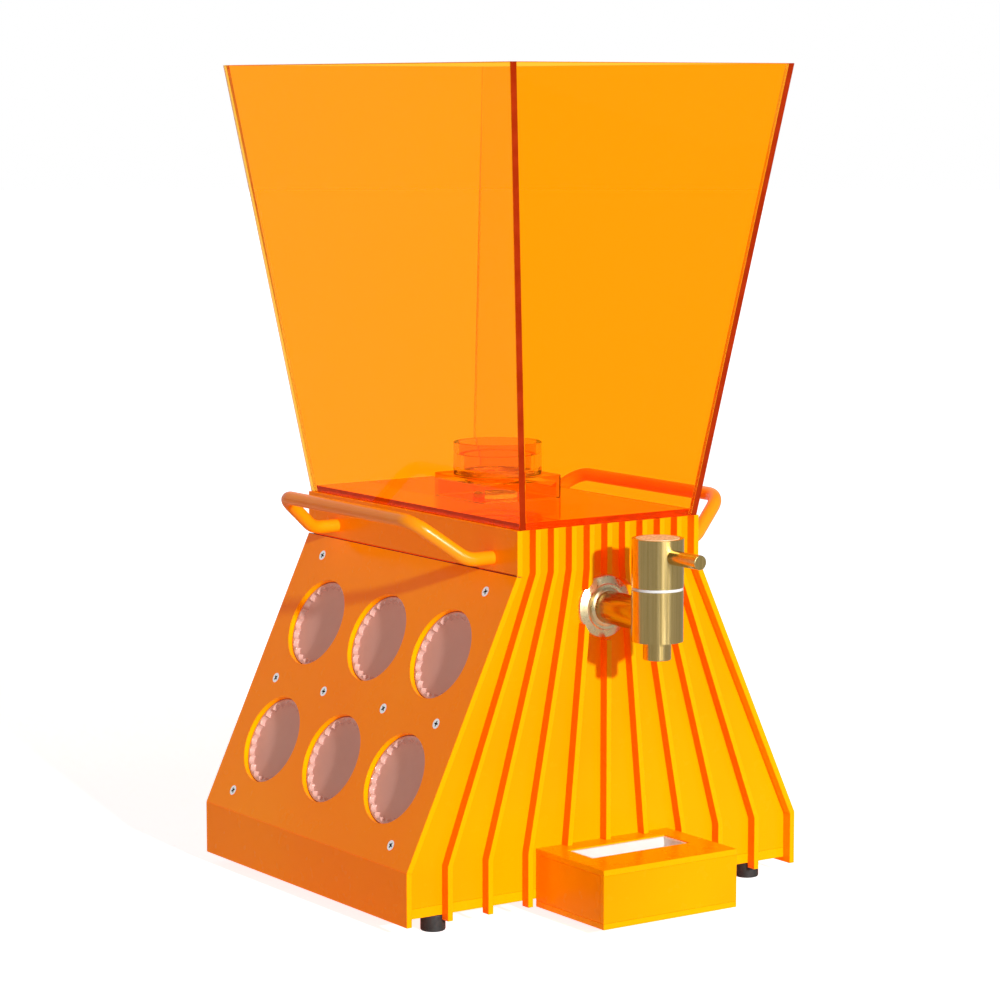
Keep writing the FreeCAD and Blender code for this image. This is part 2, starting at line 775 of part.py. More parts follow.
neck_radius = s.bottle_neck / 2
seal_recess = s.seal_thickness + s.seal_play
neck_ring = turned("neck_ring", [
    (s.seal_diameter / 2, 0), (s.ring_diameter / 2, 0), (s.ring_diameter / 2, s.ring_height),
    (s.ring_mouth / 2, s.ring_height), (s.ring_mouth / 2, s.bottle_seat),
    (neck_radius, s.bottle_seat), (neck_radius, seal_recess), (s.seal_diameter / 2, seal_recess),
])
place(neck_ring, z=socket_top)
keep(neck_ring)
neck_seal = turned("neck_seal", tube_profile(s.seal_diameter, s.seal_bore, 0, s.seal_thickness))
place(neck_seal, z=socket_top)
keep(neck_seal)

# ---------------------------------------------------------------------------------------------
# Outlet through the hopper floor, and the elbow and hose to the tap
# ---------------------------------------------------------------------------------------------

bore = s.outlet_bore / 2
deck_low = cabinet_top - s.sheet
shank_end = deck_low - s.outlet_nut_thickness - hopper_floor_top
outlet_fitting = turned("outlet_fitting", [
    (bore, s.outlet_flange_thickness), (s.outlet_flange / 2, s.outlet_flange_thickness),
    (s.outlet_flange / 2, 0), (s.outlet_shank / 2, 0), (s.outlet_shank / 2, shank_end),
    (s.barb_diameter / 2, shank_end), (s.barb_diameter / 2, shank_end - s.barb_length),
    (bore, shank_end - s.barb_length),
])
place(outlet_fitting, z=hopper_floor_top)
keep(outlet_fitting)


def hexagon_nut(name, across, thickness, opening):
    """A hexagonal nut on its own Z, from 0 up to its thickness."""
    body = new_body(name)
    sketch = new_sketch(body, "XY_Plane")
    corner = across / math.sqrt(3)
    draw_outline(sketch, [(corner * math.cos(math.radians(angle)),
                           corner * math.sin(math.radians(angle)))
                          for angle in range(0, 360, 60)])
    draw_circle(sketch, 0, 0, opening)
    pad(body, sketch, thickness)
    return body


outlet_nut = hexagon_nut("outlet_nut", s.outlet_nut, s.outlet_nut_thickness, s.outlet_shank)
place(outlet_nut, z=deck_low - s.outlet_nut_thickness)
keep(outlet_nut)

# An elbow on the outlet's barb turns the flow forward, and a straight hose joins it to the tap.
elbow_top = hopper_floor_top + shank_end
elbow_radius = s.elbow_diameter / 2
elbow_reach = elbow_radius + s.barb_length
elbow = new_body("outlet_elbow")
sketch = new_sketch(elbow, "XY_Plane", lift=tap_height - elbow_radius)
draw_circle(sketch, 0, 0, s.elbow_diameter)
pad(elbow, sketch, elbow_top - tap_height + elbow_radius)
sketch = new_sketch(elbow, "XZ_Plane")
draw_circle(sketch, 0, tap_height, s.barb_diameter)
pad(elbow, sketch, elbow_reach)
sketch = new_sketch(elbow, "XY_Plane", lift=elbow_top)
draw_circle(sketch, 0, 0, s.barb_diameter)
pocket(elbow, sketch, depth=s.barb_length)
sketch = new_sketch(elbow, "XY_Plane", lift=elbow_top)
draw_circle(sketch, 0, 0, s.outlet_bore)
pocket(elbow, sketch, depth=elbow_top - tap_height)
sketch = new_sketch(elbow, "XZ_Plane", lift=elbow_reach)
draw_circle(sketch, 0, tap_height, s.outlet_bore)
pocket(elbow, sketch, depth=elbow_reach)
place(elbow)
keep(elbow)

hose_start = elbow_radius + s.hose_gap
hose_end = -(panel_back + s.shank_length)
hose = new_body("hose")
sketch = new_sketch(hose, "XZ_Plane", lift=hose_start)
draw_circle(sketch, 0, tap_height, s.barb_diameter + 2 * s.hose_wall)
draw_circle(sketch, 0, tap_height, s.barb_diameter)
pad(hose, sketch, hose_end - hose_start)
place(hose)
keep(hose)

# ---------------------------------------------------------------------------------------------
# Tap: pipe and flange on the front panel, valve body with nozzle, and the knob with its lever
# ---------------------------------------------------------------------------------------------

pipe_radius = s.pipe_diameter / 2
shank_radius_tap = s.shank_diameter / 2
flow = s.nozzle_bore / 2
body_radius = s.tap_body_diameter / 2
tail = -(s.sheet + s.shank_length)
tap_pipe = turned("tap_pipe", [
    (flow, tail - s.barb_length), (s.barb_diameter / 2, tail - s.barb_length),
    (s.barb_diameter / 2, tail), (shank_radius_tap, tail), (shank_radius_tap, 0),
    (pipe_radius, 0), (pipe_radius, s.tap_reach - body_radius / 2),
    (flow, s.tap_reach - body_radius / 2),
])
place(tap_pipe, y=panel_face, z=tap_height, turn=FORWARD)

flange_radius = s.flange_diameter / 2
tap_flange = turned("tap_flange", [
    (pipe_radius, 0), (flange_radius, 0), (flange_radius, s.flange_plate),
    (s.flange_collar / 2, s.flange_plate), (s.flange_collar / 2, s.flange_rise),
    (pipe_radius, s.flange_rise),
])
place(tap_flange, y=panel_face, z=tap_height, turn=FORWARD)
keep(tap_flange)

tap_washer = turned("tap_washer", tube_profile(s.tap_washer, s.shank_diameter, 0,
                                               s.tap_washer_thickness))
place(tap_washer, y=panel_back + s.tap_washer_thickness, z=tap_height, turn=FORWARD)
keep(tap_washer)
tap_nut = hexagon_nut("tap_nut", s.tap_nut, s.tap_nut_thickness, s.shank_diameter)
place(tap_nut, y=panel_back + s.tap_washer_thickness + s.tap_nut_thickness, z=tap_height,
      turn=FORWARD)
keep(tap_nut)

plug_radius = s.plug_diameter / 2
plug_bore = plug_radius + s.plug_clearance
plug_floor = -(s.tap_body_below / 2)
body_low, body_high = -s.tap_body_below, s.tap_body_above
valve_body = turned("valve_body", [
    (flow, body_low), (body_radius, body_low), (body_radius, body_high), (plug_bore, body_high),
    (plug_bore, plug_floor), (flow, plug_floor),
])
side_port = new_sketch(valve_body, "XZ_Plane", lift=-body_radius)
draw_circle(side_port, 0, 0, s.nozzle_bore)
pocket(valve_body, side_port, depth=body_radius, upward=True)
place(valve_body, y=tap_axis, z=tap_height)
keep(valve_body)
body_cutter = turned("valve_body_cutter", [
    (0, body_low), (body_radius, body_low), (body_radius, body_high), (0, body_high),
])
place(body_cutter, y=tap_axis, z=tap_height)
keep(cut("tap_shank", tap_pipe, [body_cutter]))

nozzle = turned("nozzle", tube_profile(s.nozzle_diameter, s.nozzle_bore, 0, s.nozzle_length))
place(nozzle, y=tap_axis, z=tap_height + body_low - s.nozzle_length)
keep(nozzle)

ring_half = body_radius - s.seal_ring_inset
seal_ring = turned("seal_ring", [
    (plug_bore, 0), (ring_half, 0), (ring_half, s.seal_ring_height),
    (plug_bore, s.seal_ring_height),
])
place(seal_ring, y=tap_axis, z=tap_height + body_high)
keep(seal_ring)

knob_low = tap_height + body_high + s.seal_ring_height
badge_radius = s.badge_diameter / 2
knob = turned("tap_knob", [
    (0, 0), (body_radius, 0), (body_radius, s.knob_height), (badge_radius, s.knob_height),
    (badge_radius, s.knob_height - s.badge_recess), (0, s.knob_height - s.badge_recess),
])
lever_seat = new_sketch(knob, "XZ_Plane", lift=body_radius)
draw_circle(lever_seat, 0, s.knob_height - s.lever_drop, s.lever_diameter)
pocket(knob, lever_seat, depth=body_radius / 2)
place(knob, y=tap_axis, z=knob_low)
keep(knob)
knob_badge = turned("knob_badge", [
    (0, 0), (badge_radius, 0), (badge_radius, s.badge_thickness), (0, s.badge_thickness),
])
place(knob_badge, y=tap_axis, z=knob_low + s.knob_height - s.badge_recess)
keep(knob_badge)
lever = turned("tap_lever", [
    (0, body_radius / 2), (s.lever_diameter / 2, body_radius / 2),
    (s.lever_diameter / 2, s.lever_reach), (0, s.lever_reach),
])
place(lever, y=tap_axis, z=knob_low + s.knob_height - s.lever_drop, turn=FORWARD)
keep(lever)

plug_length = s.tap_body_above + s.seal_ring_height - plug_floor - s.plug_clearance
port_height = -plug_floor - s.plug_clearance
valve_plug = turned("valve_plug", [
    (s.plug_port / 2, 0), (plug_radius, 0), (plug_radius, plug_length), (0, plug_length),
    (0, port_height), (s.plug_port / 2, port_height),
])
# The elbow port points to the right while the lever points forward, which is closed.
port = new_sketch(valve_plug, "YZ_Plane")
draw_circle(port, 0, port_height, s.plug_port)
pocket(valve_plug, port, depth=s.plug_diameter, upward=True)
place(valve_plug, y=tap_axis, z=tap_height + plug_floor + s.plug_clearance)
keep(valve_plug)

# ---------------------------------------------------------------------------------------------
# Handles: bent rods that pass through the neck and are held by nuts inside
# ---------------------------------------------------------------------------------------------


def bent_path(points, radius):
    """A wire of straight runs through the points, with an arc of one radius at each corner."""
    edges = []
    start = points[0]
    for before, corner, after in zip(points, points[1:], points[2:]):
        arriving = (corner - before).normalize()
        leaving = (after - corner).normalize()
        half_turn = arriving.getAngle(leaving) / 2
        trim = radius * math.tan(half_turn)
        bend_start = corner - arriving * trim
        bend_end = corner + leaving * trim
        inward = (leaving - arriving).normalize()
        middle = corner + inward * (radius / math.cos(half_turn) - radius)
        edges.append(Part.LineSegment(start, bend_start).toShape())
        edges.append(Part.Arc(bend_start, middle, bend_end).toShape())
        start = bend_end
    edges.append(Part.LineSegment(start, points[-1]).toShape())
    return Part.Wire(edges)


def bent_rod(name):
    """The left handle: two stubs through the neck and a bow that rises outward to the grip."""
    foot = s.handle_spread.value / 2
    grip = s.handle_grip.value / 2
    inside = s.handle_inside.value
    half = [
        Vector(inside, foot, 0), Vector(-s.handle_stub.value, foot, 0),
        Vector(-s.handle_reach.value, grip, s.handle_rise.value),
    ]
    points = half + [Vector(p.x, -p.y, p.z) for p in reversed(half)]
    wire = bent_path(points, s.handle_bend.value)
    section = Part.Wire(Part.Circle(points[0], Vector(1, 0, 0), s.rod_diameter.value / 2).toShape())
    rod = doc.addObject("Part::Feature", name)
    rod.Shape = wire.makePipeShell([section], True, False)
    place(rod, x=-neck_half, y=-s.handle_forward, z=s.handle_height)
    return rod


handle_left = keep(bent_rod("handle_left"))
keep(mirrored(handle_left, "handle_right"))

INWARD = (Vector(0, 1, 0), 90)       # turns a nut's own +Z to +X


def handle_nut(side):
    nut = hexagon_nut(f"handle_nut_{'front' if side < 0 else 'rear'}", s.handle_nut,
                      s.handle_nut_thickness, s.rod_diameter)
    place(nut, x=s.sheet - neck_half, y=s.handle_spread / 2 * side - s.handle_forward,
          z=s.handle_height, turn=INWARD)
    return nut


nuts_left = grouped("nuts_left", [handle_nut(-1), handle_nut(1)])
keep(grouped("handle_nuts", [nuts_left, mirrored(nuts_left, "nuts_right")]))

# ---------------------------------------------------------------------------------------------
# Drip tray: glued sheets against the front panel, with a slot over a lift-out cup
# ---------------------------------------------------------------------------------------------

slot_half = s.slot_width / 2
slot_rear = -s.slot_setback
slot_front = slot_rear - s.slot_depth
tray_face = panel_face - s.tray_depth
tray_low = -s.tray_drop
tray_inner_low, tray_inner_high = tray_low + s.sheet, tray_top - s.sheet


def tray_sheet(name, x0, x1, y0, y1, z0, z1):
    return plate(name, x0, x1, y0, y1, z0, z1 - z0)


tray_lid = new_body("tray_top")
sketch = new_sketch(tray_lid, "XY_Plane")
draw_rectangle(sketch, -tray_half, tray_half, tray_face, panel_face)
draw_rectangle(sketch, -slot_half, slot_half, panel_face + slot_front, panel_face + slot_rear)
pad(tray_lid, sketch, s.sheet)
place(tray_lid, z=tray_inner_high)
keep(tray_lid)
keep(tray_sheet("tray_floor", -tray_half, tray_half, tray_face, panel_face, tray_low,
                tray_inner_low))
keep(tray_sheet("tray_front", -tray_half, tray_half, tray_face, tray_face + s.sheet,
                tray_inner_low, tray_inner_high))
left_tray_side = tray_sheet("left_tray_side", -tray_half, s.sheet - tray_half,
                            tray_face + s.sheet, panel_face, tray_inner_low, tray_inner_high)
keep(grouped("tray_sides", [left_tray_side, mirrored(left_tray_side, "right_tray_side")]))

gap = s.drip_cup_clearance
cup_height = tray_top - tray_inner_low - gap
drip_cup = new_body("drip_cup")
sketch = new_sketch(drip_cup, "XY_Plane")
draw_rectangle(sketch, gap - slot_half, slot_half - gap, slot_front + gap, slot_rear - gap)
block = pad(drip_cup, sketch, cup_height)
doc.recompute()
uprights = [f"Edge{number}" for number, edge in enumerate(block.Shape.Edges, start=1)
            if abs(edge.tangentAt(edge.FirstParameter).z) > 0.99]
rounding = drip_cup.newObject("PartDesign::Fillet", "drip_cup_corners")
rounding.Base = (block, uprights)
bind(rounding, "Radius", s.drip_cup_corner)
wall = gap + s.drip_cup_wall
sketch = new_sketch(drip_cup, "XY_Plane", lift=cup_height)
draw_rectangle(sketch, wall - slot_half, slot_half - wall, slot_front + wall, slot_rear - wall)
pocket(drip_cup, sketch, depth=cup_height - s.drip_cup_wall)
place(drip_cup, y=panel_face, z=tray_inner_low)
keep(drip_cup)

# ---------------------------------------------------------------------------------------------
# Feet
# ---------------------------------------------------------------------------------------------


def foot(number, side, end):
    peg = new_body(f"foot_{number}")
    sketch = new_sketch(peg, "XY_Plane", lift=-s.foot_height)
    draw_circle(sketch, 0, 0, s.foot_diameter)
    pad(peg, sketch, s.foot_height + base_low)
    end_y = (depth_half - s.foot_inset_front) * end
    place(peg, x=(skirt_half - s.foot_inset_side) * side, y=end_y)
    return peg


feet = [foot(number, side, end) for number, (side, end) in
        enumerate([(-1, -1), (1, -1), (1, 1), (-1, 1)], start=1)]
keep(grouped("rubber_feet", feet))

# ---------------------------------------------------------------------------------------------
# Check and write
# ---------------------------------------------------------------------------------------------

doc.recompute()
for item in doc.Objects:
    if "Invalid" in item.State or "Error" in item.State:
        raise RuntimeError(f"{item.Label} failed: {item.State}")
for item in nodes:
    if item.Shape.isNull() or not item.Shape.isValid() or not item.Shape.Solids:
        raise RuntimeError(f"{item.Label} has no valid solid")
os.makedirs("parts", exist_ok=True)
for item in nodes:
    item.Shape.exportStep(f"parts/{item.Label}.step")
print(len(nodes), "pieces written")
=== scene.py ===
import json
import math

import bmesh
import bpy
from mathutils import Matrix, Vector


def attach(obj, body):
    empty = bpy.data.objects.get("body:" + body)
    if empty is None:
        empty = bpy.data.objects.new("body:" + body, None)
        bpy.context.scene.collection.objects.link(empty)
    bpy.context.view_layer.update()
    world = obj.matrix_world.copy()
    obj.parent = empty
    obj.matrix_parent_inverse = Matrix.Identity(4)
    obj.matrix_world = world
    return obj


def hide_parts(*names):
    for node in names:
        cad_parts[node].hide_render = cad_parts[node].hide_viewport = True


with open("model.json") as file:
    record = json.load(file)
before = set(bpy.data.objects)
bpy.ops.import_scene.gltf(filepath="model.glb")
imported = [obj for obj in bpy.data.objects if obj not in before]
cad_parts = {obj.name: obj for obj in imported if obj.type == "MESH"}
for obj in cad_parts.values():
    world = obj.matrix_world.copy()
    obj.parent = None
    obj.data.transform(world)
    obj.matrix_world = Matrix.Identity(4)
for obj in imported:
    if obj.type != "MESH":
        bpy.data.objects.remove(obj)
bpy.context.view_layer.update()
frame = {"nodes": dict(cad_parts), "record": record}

# Party shot dispenser: glued fluorescent acrylic cabinet and flared hopper, brass tap, drip tray,
# two bent handles and twelve shot cups racked in the sloping sides. Metres, tap towards -Y.

nodes = frame["nodes"]
bodies_of = {node: body for body, members in frame["record"]["behaviour"]["bodies"].items()
             for node in members}
scene = bpy.context.scene
MM = 0.001

# ---- Studio ---------------------------------------------------------------------------------
# A pale seamless table in front of a white wall, in a dim room. One large lamp stands high beside
# the camera and lights the tap side, and the table throws it back on to the sloping sides.

CAMERA_LENS = 117.569            # millimetres
CAMERA_PLACE = (-0.94840, -1.36544, 0.40450)
CAMERA_DOWN = 7.1237             # degrees below level
CAMERA_TURN = -34.4571           # degrees from facing +Y
ROOM_LIGHT = 0.135
ROOM_MIRRORED = 0.26             # what polished faces see of the room before the table
WALL_MIRRORED = 0.90             # and of the white wall behind it
WALL_FROM, WALL_FULL = 0.3, 0.7  # the lean to +Y of rays that start to see the wall, and see it all
LAMP_MIRRORED = 5.0              # what polished faces see of the lamp's diffuser
LAMP_EDGE, LAMP_CORE = 30, 20    # degrees from the middle of the diffuser
KEY_TRAVEL = Vector((0.05, 1, -0.33))
KEY_STRENGTH = 3.15
KEY_SPREAD = 2.5                 # degrees
TABLE_RADIUS = 12
TABLE_SIDES = 96
TABLE_GLOW = 0.84                # light of its own that the camera sees, so only shadows show
TABLE_GLOW_BEHIND = 0.61         # the same as seen through the hopper, where it meets the wall

camera_lens = bpy.data.cameras.new("camera")
camera_lens.lens = CAMERA_LENS
camera = bpy.data.objects.new("camera", camera_lens)
camera.location = CAMERA_PLACE
camera.rotation_euler = (math.radians(90 - CAMERA_DOWN), 0, math.radians(CAMERA_TURN))
scene.collection.objects.link(camera)
scene.camera = camera

scene.view_settings.view_transform = "Standard"

world = bpy.data.worlds.new("studio")
world.use_nodes = True
scene.world = world
room = world.node_tree
room.nodes.clear()
rays = room.nodes.new("ShaderNodeLightPath")
output = room.nodes.new("ShaderNodeOutputWorld")


def dial(node, settings):
    """Sets sockets of a node to plain numbers and colours, and hands the node back."""
    for socket, value in settings.items():
        node.inputs[socket].default_value = (*value, 1) if isinstance(value, tuple) else value
    return node


def worked_out(tree, operation, *terms):
    """What a math node makes of its terms, which are sockets or plain numbers."""
    sums = tree.nodes.new("ShaderNodeMath")
    sums.operation = operation
    for socket, term in zip(sums.inputs, terms):
        if isinstance(term, bpy.types.NodeSocket):
            tree.links.new(term, socket)
        else:
            socket.default_value = term
    return sums.outputs[0]


def between(value, start, end, at_start, at_end):
    """A number that goes from one level to another while a value crosses a range."""
    levels = dial(room.nodes.new("ShaderNodeMapRange"), {
        "From Min": start, "From Max": end, "To Min": at_start, "To Max": at_end})
    room.links.new(value, levels.inputs["Value"])
    return levels.outputs["Result"]


def wall_light(strength):
    light = room.nodes.new("ShaderNodeBackground")
    return dial(light, {"Color": (1, 1, 1), "Strength": strength}).outputs[0]


def on_rays(kind, otherwise, chosen):
    """The chosen light for rays of one kind, and the other light for the rest."""
    mix = room.nodes.new("ShaderNodeMixShader")
    room.links.new(rays.outputs[kind], mix.inputs["Fac"])
    room.links.new(otherwise, mix.inputs[1])
    room.links.new(chosen, mix.inputs[2])
    return mix.outputs[0]


direction = room.nodes.new("ShaderNodeTexCoord").outputs["Generated"]
leaning = room.nodes.new("ShaderNodeSeparateXYZ")
room.links.new(direction, leaning.inputs[0])
wall = between(leaning.outputs["Y"], WALL_FROM, WALL_FULL, ROOM_MIRRORED, WALL_MIRRORED)
towards_lamp = room.nodes.new("ShaderNodeVectorMath")
towards_lamp.operation = "DOT_PRODUCT"
towards_lamp.inputs[1].default_value = -KEY_TRAVEL.normalized()
room.links.new(direction, towards_lamp.inputs[0])
diffuser = between(towards_lamp.outputs["Value"], math.cos(math.radians(LAMP_EDGE)),
                   math.cos(math.radians(LAMP_CORE)), 0, LAMP_MIRRORED)
mirrored_room = room.nodes.new("ShaderNodeBackground")
room.links.new(worked_out(room, "ADD", wall, diffuser), mirrored_room.inputs["Strength"])
light = on_rays("Is Glossy Ray", wall_light(ROOM_LIGHT), mirrored_room.outputs[0])
for kind in ("Is Transmission Ray", "Is Camera Ray"):
    light = on_rays(kind, light, wall_light(1))
room.links.new(light, output.inputs["Surface"])

key = bpy.data.lights.new("key_lamp", "SUN")
key.energy = KEY_STRENGTH
key.angle = math.radians(KEY_SPREAD)
key_lamp = bpy.data.objects.new("key_lamp", key)
key_lamp.rotation_euler = KEY_TRAVEL.to_track_quat("-Z", "Y").to_euler()
scene.collection.objects.link(key_lamp)

table_mesh = bpy.data.meshes.new("table")
table_shape = bmesh.new()
bmesh.ops.create_circle(table_shape, cap_ends=True, segments=TABLE_SIDES, radius=TABLE_RADIUS)
table_shape.to_mesh(table_mesh)
table_shape.free()
table = bpy.data.objects.new("table", table_mesh)
scene.collection.objects.link(table)

table_card = bpy.data.materials.new("table_card")
table_card.use_nodes = True
card_tree = table_card.node_tree
card = dial(card_tree.nodes["Principled BSDF"], {
    "Base Color": (0.88, 0.88, 0.88), "Roughness": 0.9, "Specular IOR Level": 0.1})
seen = card_tree.nodes.new("ShaderNodeLightPath")
glow = card_tree.nodes.new("ShaderNodeEmission")
glow_behind = worked_out(card_tree, "MULTIPLY", seen.outputs["Is Transmission Ray"],
                         TABLE_GLOW_BEHIND)
glow_strength = worked_out(card_tree, "MULTIPLY_ADD", seen.outputs["Is Camera Ray"], TABLE_GLOW,
                           glow_behind)
both = card_tree.nodes.new("ShaderNodeAddShader")
card_tree.links.new(glow_strength, glow.inputs["Strength"])
card_tree.links.new(card.outputs[0], both.inputs[0])
card_tree.links.new(glow.outputs[0], both.inputs[1])
card_tree.links.new(both.outputs[0], card_tree.nodes["Material Output"].inputs["Surface"])
table_mesh.materials.append(table_card)

# ---- Cabinet sheets -------------------------------------------------------------------------
# Front, rear, base and deck plates, skirts and neck bands: 3 mm cast acrylic in fluorescent
# orange, laser-cut and glued. A red painted glow makes the sheet redder where it is shaded, and
# its cut edges are polished and painted a shade brighter than the faces, as painted edge glow.

SHEET_ORANGE = (0.86, 0.44, 0.0)
SHEET_ORANGE_DEEP = (0.86, 0.37, 0.0)
# Painted edge glow: the cut edges are a shade brighter than the faces.
EDGE_GLOW_ORANGE = (0.88, 0.48, 0.0)
ACRYLIC_IOR = 1.49
SHEET_GLOSS = 0.25
SHEEN = (1.0, 0.5, 0.1)          # the dye tints what the faces mirror
# Painted glow: a red emission that reddens the shaded sheets, weaker where sheets face the lamp.
PAINTED_GLOW = (1.0, 0.04, 0.0)
PAINTED_GLOW_STRENGTH = 0.40
FRONT_PAINTED_GLOW_STRENGTH = 0.27       # the sheets that face the lamp glow less over their own colour
FACE_ROUGHNESS = 0.18
EDGE_ROUGHNESS = 0.22
WELD = 1e-6                      # corners closer than this are one
FLAT_WITHIN = math.radians(0.6)
SHARP_FOLD = math.radians(33)
EASED_EDGE = 0.25 * MM
EDGE_FACING = 0.5                # faces less in line with the sheet's normal are cut edges
# The two below pick the cut-edge faces in a joint that get painted shade.
JOINT_FACING = 0.25              # faces more in line with a joint's direction look into it
JOINT_DEPTH = 2 * MM


def new_finish(name):
    """A material and its shader."""
    finish = bpy.data.materials.new(name)
    finish.use_nodes = True
    return finish, finish.node_tree.nodes["Principled BSDF"]


def cloud(tree, scale, detail, stretch):
    """Noise in a piece's own metres, squeezed along its axes by the stretch."""
    coordinates = tree.nodes.new("ShaderNodeTexCoord")
    stretched = tree.nodes.new("ShaderNodeMapping")
    stretched.inputs["Scale"].default_value = stretch
    noise = dial(tree.nodes.new("ShaderNodeTexNoise"), {"Scale": scale, "Detail": detail})
    tree.links.new(coordinates.outputs["Object"], stretched.inputs["Vector"])
    tree.links.new(stretched.outputs[0], noise.inputs["Vector"])
    return noise.outputs["Fac"]


def mottled(shader, socket, low, high, scale, stretch=(1, 1, 1)):
    """Drives a shader's socket with cloudy variation between two colours or two numbers."""
    tree = shader.id_data
    ramp = tree.nodes.new("ShaderNodeValToRGB")
    for stop, position, value in zip(ramp.color_ramp.elements, (0.35, 0.65), (low, high)):
        stop.position = position
        stop.color = (*value, 1) if isinstance(value, tuple) else (value, value, value, 1)
    tree.links.new(cloud(tree, scale, 3, stretch), ramp.inputs["Fac"])
    tree.links.new(ramp.outputs["Color"], shader.inputs[socket])


def rippled(shader, scale, height, stretch=(1, 1, 1)):
    """Gives a shader fine relief of one noise, as tooling or moulding leaves it."""
    tree = shader.id_data
    bump = dial(tree.nodes.new("ShaderNodeBump"), {"Strength": 0.3, "Distance": height})
    tree.links.new(cloud(tree, scale, 4, stretch), bump.inputs["Height"])
    tree.links.new(bump.outputs["Normal"], shader.inputs["Normal"])


def painted_glow_sheet(name, light, deep, glow, roughness):
    """Fluorescent acrylic: cloudy dye, a faint painted glow, and a polished, slightly wavy face."""
    finish, shader = new_finish(name)
    mottled(shader, "Base Color", deep, light, scale=7)
    mottled(shader, "Roughness", roughness, roughness + 0.10, scale=140)
    rippled(shader, scale=55, height=0.02 * MM)
    dial(shader, {"IOR": ACRYLIC_IOR, "Specular IOR Level": SHEET_GLOSS, "Specular Tint": SHEEN,
                  "Emission Color": PAINTED_GLOW, "Emission Strength": glow})
    return finish


sheet_face = painted_glow_sheet("sheet_face", SHEET_ORANGE, SHEET_ORANGE_DEEP, PAINTED_GLOW_STRENGTH,
                        FACE_ROUGHNESS)
sheet_edge = painted_glow_sheet("sheet_edge", EDGE_GLOW_ORANGE, SHEET_ORANGE, PAINTED_GLOW_STRENGTH,
                        EDGE_ROUGHNESS)
front_face = painted_glow_sheet("front_face", SHEET_ORANGE, SHEET_ORANGE_DEEP, FRONT_PAINTED_GLOW_STRENGTH,
                        FACE_ROUGHNESS)
front_edge = painted_glow_sheet("front_edge", EDGE_GLOW_ORANGE, SHEET_ORANGE, FRONT_PAINTED_GLOW_STRENGTH,
                        EDGE_ROUGHNESS)
# Painted shade: a near-black brown on the cut edges in narrow joints, where shade falls.
joint_painted_shade, shader = new_finish("joint_painted_shade")
mottled(shader, "Base Color", (0.09, 0.012, 0.002), (0.14, 0.02, 0.003), scale=90)
mottled(shader, "Roughness", 0.6, 0.7, scale=200)


def widest_normal(shape):
    return max(shape.faces, key=lambda face: face.calc_area()).normal.copy()


def finished(node, name, finishes, eased=EASED_EDGE, across=None, steps=2):
    """One piece ready to show: its solid with merged flats, eased edges and smooth rounds.

    With two finishes the second goes on the cut edges, which face away from the sheet's normal.
    """
    shape = bmesh.new()
    shape.from_mesh(nodes[node].data)
    bmesh.ops.remove_doubles(shape, verts=shape.verts, dist=WELD)
    bmesh.ops.dissolve_limit(shape, angle_limit=FLAT_WITHIN, verts=shape.verts,
                             edges=shape.edges)
    normal = across or widest_normal(shape)
    if len(finishes) > 1:
        for face in shape.faces:
            face.material_index = int(abs(face.normal.dot(normal)) < EDGE_FACING)
    if eased:
        folds = [edge for edge in shape.edges
                 if edge.is_manifold and edge.calc_face_angle(0) > SHARP_FOLD]
        bmesh.ops.bevel(shape, geom=folds, offset=eased, segments=steps, profile=0.5,
                        affect="EDGES", clamp_overlap=True, material=-1)
    return placed(name, shape, finishes, node)


def placed(name, shape, finishes, node):
    """Makes a piece of a shape, smooth up to its folds, and puts it on its node's body."""
    mesh = bpy.data.meshes.new(name)
    shape.to_mesh(mesh)
    shape.free()
    for finish in finishes:
        mesh.materials.append(finish)
    mesh.shade_smooth()
    mesh.set_sharp_from_angle(angle=SHARP_FOLD)
    piece = bpy.data.objects.new(name, mesh)
    scene.collection.objects.link(piece)
    flats = piece.modifiers.new("flats", "WEIGHTED_NORMAL")
    flats.keep_sharp = True
    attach(piece, bodies_of[node])
    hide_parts(node)
    return piece


def joint_shaded(piece, direction):
    """Paints shade on the outermost cut edge in one direction, which faces a narrow joint."""
    piece.data.materials.append(joint_painted_shade)
    dark = len(piece.data.materials) - 1
    reach = max(corner.co.dot(direction) for corner in piece.data.vertices) - JOINT_DEPTH
    for face in piece.data.polygons:
        if face.center.dot(direction) > reach and face.normal.dot(direction) > JOINT_FACING:
            face.material_index = dark


finished("front_panel", "front_panel_sheet", [front_face, front_edge])
for node in ("rear_panel", "base_plate", "deck_plate", "skirt_left", "skirt_right"):
    finished(node, f"{node}_sheet", [sheet_face, sheet_edge])
for node in ("neck_left", "neck_right"):
    band = finished(node, f"{node}_sheet", [sheet_face, sheet_edge])
    joint_shaded(band, Vector((0, 0, -1)))

# ---- Front fins -----------------------------------------------------------------------------
# Nine upright strips of the same sheet stand on the front panel, glued along one cut edge. They
# fan out down the slope, and the three middle ones stop round the tap and on the tray.

FORWARD = Vector((0, -1, 0))
# Painted shade: the sides of the strips, turned from the lamp, are a deeper red-orange than fronts.
FIN_SIDE_SHADE = (0.86, 0.26, 0.0)
FIN_SIDE_SHADE_DEEP = (0.86, 0.22, 0.0)
fin_side_shade = painted_glow_sheet("fin_side_shade", FIN_SIDE_SHADE, FIN_SIDE_SHADE_DEEP, FRONT_PAINTED_GLOW_STRENGTH, 0.2)
for node in ("left_fins", "right_fins", "middle_fins"):
    finished(node, f"{node}_strips", [front_edge, fin_side_shade], across=FORWARD)

# ---- Cup panels -----------------------------------------------------------------------------
# A sloping sheet of the same acrylic on each side, with six cup holes and eight countersunk screw
# holes. The walls of the holes take the brighter edge colour, a painted edge glow, and the upper
# edge meets the neck band in a joint whose edge carries painted shade.


